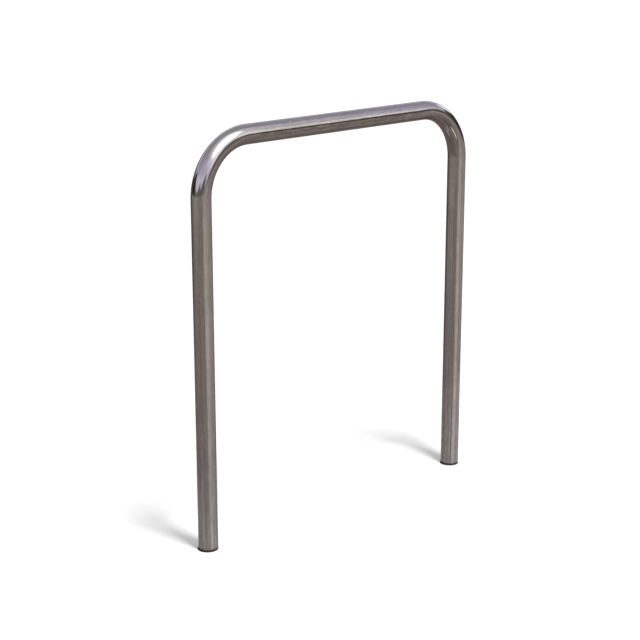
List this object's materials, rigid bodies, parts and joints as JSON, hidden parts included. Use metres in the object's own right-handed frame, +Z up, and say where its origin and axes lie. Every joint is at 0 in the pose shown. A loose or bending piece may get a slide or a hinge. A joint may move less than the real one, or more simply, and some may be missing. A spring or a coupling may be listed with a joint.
{
  "type": "hoop bike rack",
  "caption": "Inverted U hoop of bent stainless tube to lean and lock a bicycle against, with roots to cast into the ground.",
  "frame": {"origin": "ground level, midway between the two legs", "axes": "+Z up, +X along the rail from the left leg to the right leg, +Y square to the hoop and away from the viewer"},
  "size_m": [0.8, 0.16, 1.2033],
  "materials": {
    "satin_stainless": "satin, linished along the tube",
    "anchor_stainless": "mill finish, dull",
    "cap_plastic": "moulded, matt"
  },
  "bodies": {
    "root": {"hoop_tube": "satin_stainless", "left_anchor_bar": "anchor_stainless", "right_anchor_bar": "anchor_stainless", "left_end_cap": "cap_plastic", "right_end_cap": "cap_plastic"}
  },
  "joints": []
}
